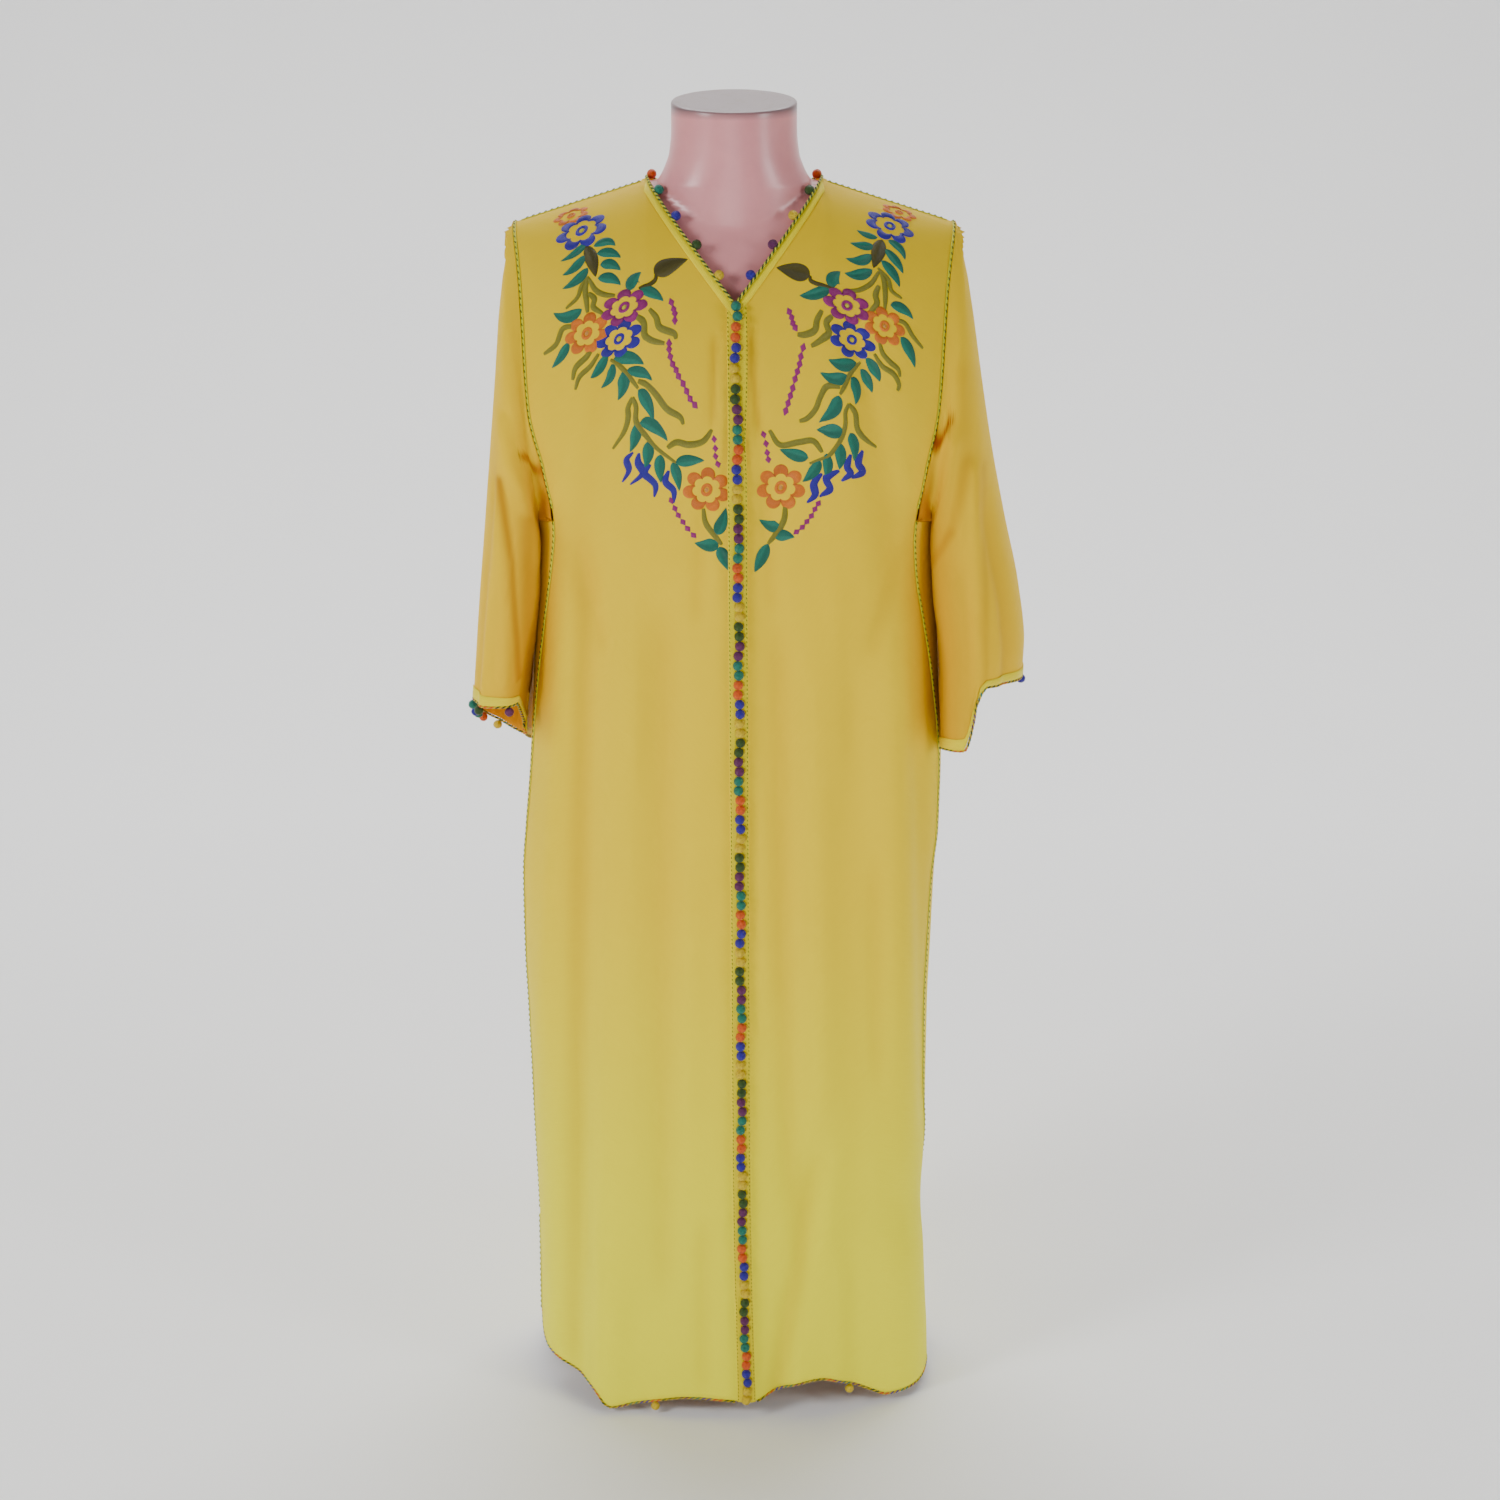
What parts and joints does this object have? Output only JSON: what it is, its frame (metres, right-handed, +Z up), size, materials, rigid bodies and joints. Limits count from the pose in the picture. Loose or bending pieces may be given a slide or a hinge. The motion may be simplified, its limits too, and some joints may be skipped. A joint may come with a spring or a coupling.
{
  "type": "short kaftan on a limbless dress form",
  "caption": "Short loose kaftan with open wide sleeves, V neck, a braided front closed by knotted ball buttons and side slits, worn by a limbless dress form on a stand.",
  "frame": {"origin": "on the floor, under the middle of the stand's base", "axes": "+Z up, the front of the kaftan faces -Y, +X is the viewer's right when looking at the front"},
  "size_m": [0.5213, 0.2588, 1.254],
  "materials": {
    "cloth": "golden yellow slubbed silk-like plain weave, soft sheen",
    "braid": "bright yellow flat woven braid",
    "cord": "dark green twisted cord with small coloured thread balls",
    "thread": "knotted thread balls in six bright colours",
    "form": "semi-gloss pink skin-toned shell",
    "metal": "satin steel"
  },
  "bodies": {
    "root": {"back": "cloth", "button_row_01": "thread", "button_row_02": "thread", "button_row_03": "thread", "button_row_04": "thread", "button_row_05": "thread", "button_row_06": "thread", "button_row_07": "thread", "cuff_band_left": "braid", "cuff_band_right": "braid", "cuff_cord_left": "cord", "cuff_cord_right": "cord", "form_base": "metal", "form_pole": "metal", "form_torso": "form", "front_left": "cloth", "front_right": "cloth", "hem_cord_back": "cord", "hem_cord_left": "cord", "hem_cord_right": "cord", "neck_band_back": "braid", "neck_band_left": "braid", "neck_band_right": "braid", "neck_cord_back": "cord", "neck_cord_left": "cord", "neck_cord_right": "cord", "placket_band_left": "braid", "placket_band_right": "braid", "sleeve_left": "cloth", "sleeve_right": "cloth"}
  },
  "joints": []
}
